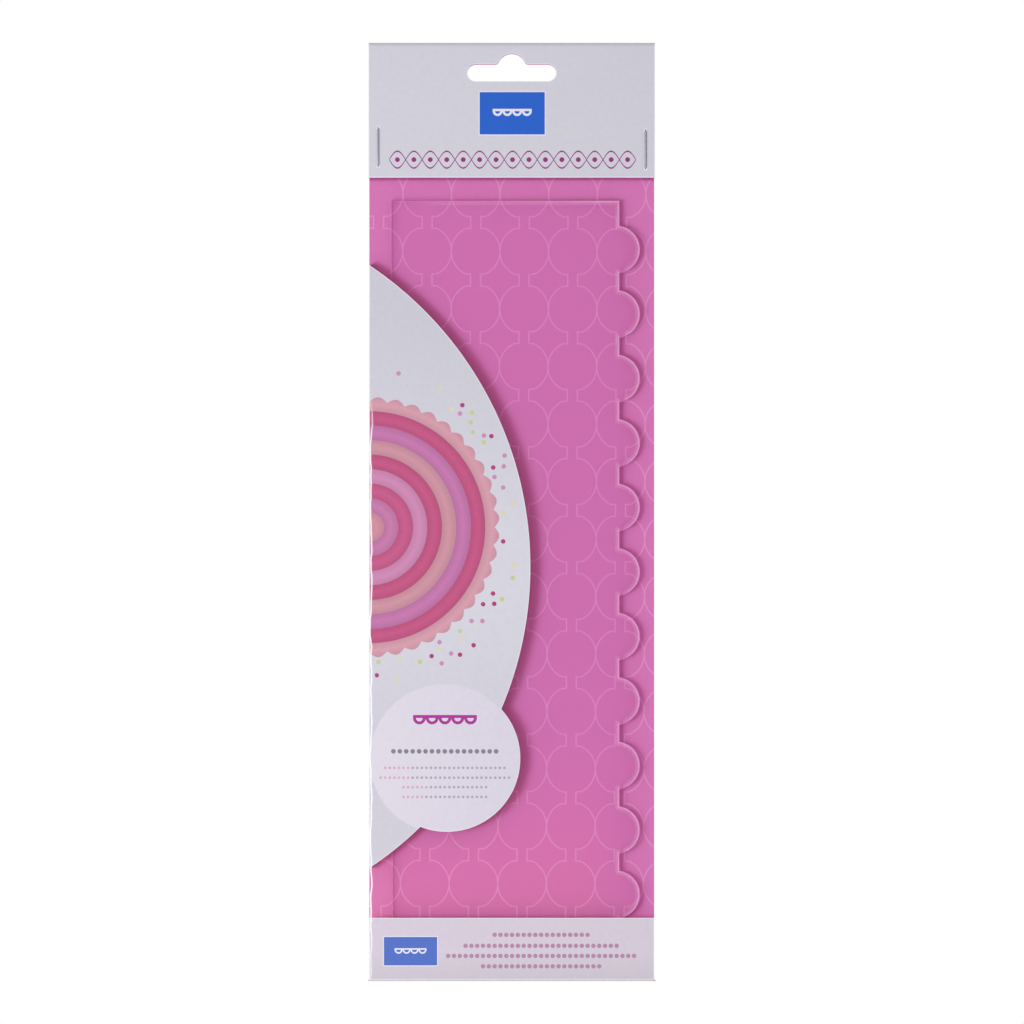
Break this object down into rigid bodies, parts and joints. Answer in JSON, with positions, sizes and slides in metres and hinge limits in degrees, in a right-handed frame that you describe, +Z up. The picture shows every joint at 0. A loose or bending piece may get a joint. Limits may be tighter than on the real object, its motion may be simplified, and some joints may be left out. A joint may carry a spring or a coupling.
{
  "type": "cake side scraper in its hanging pack",
  "caption": "Clear plate scraper with one straight and one ribbed edge, in a folded card wallet and film bag under a stapled header card with a hang slot.",
  "frame": {"origin": "top of the hang slot, in the middle of the backing card's thickness, where a peg carries the pack", "axes": "+X to the right seen from the front, +Y to the back, +Z up the pack"},
  "size_m": [0.094, 0.0087, 0.3069],
  "materials": {
    "clear_acrylic": "clear cast acrylic sheet with polished faces and laser-cut edges",
    "pink_board": "silk-coated board printed pink with a hairline pattern of linked circles",
    "white_board": "silk-coated board, white with a cool lilac cast",
    "clear_film": "thin clear polypropylene film",
    "staple_wire": "galvanised steel wire"
  },
  "bodies": {
    "pack": {"backing_card": "pink_board", "side_spine": "white_board", "bottom_spine": "white_board", "header_card": "white_board", "clear_bag": "clear_film", "staple_left": "staple_wire", "staple_right": "staple_wire"},
    "blade": {"scraper_blade": "clear_acrylic"},
    "side_flap": {"side_flap": "white_board"},
    "bottom_flap": {"bottom_flap": "white_board"}
  },
  "joints": [
    {"name": "blade_slide", "type": "slide", "parent": "pack", "child": "blade", "axis": [0, 0, 1], "range_m": [0, 0.003]},
    {"name": "side_flap_crease", "type": "hinge", "parent": "pack", "child": "side_flap", "pos_m": [-0.04637, -0.00367, -0.1679], "axis": [0, 0, -1], "range_deg": [-1, 1], "stiffness_Nm_per_rad": 0.01},
    {"name": "bottom_flap_crease", "type": "hinge", "parent": "pack", "child": "bottom_flap", "pos_m": [0, -0.00367, -0.30278], "axis": [1, 0, 0], "range_deg": [-1, 1], "stiffness_Nm_per_rad": 0.002}
  ]
}
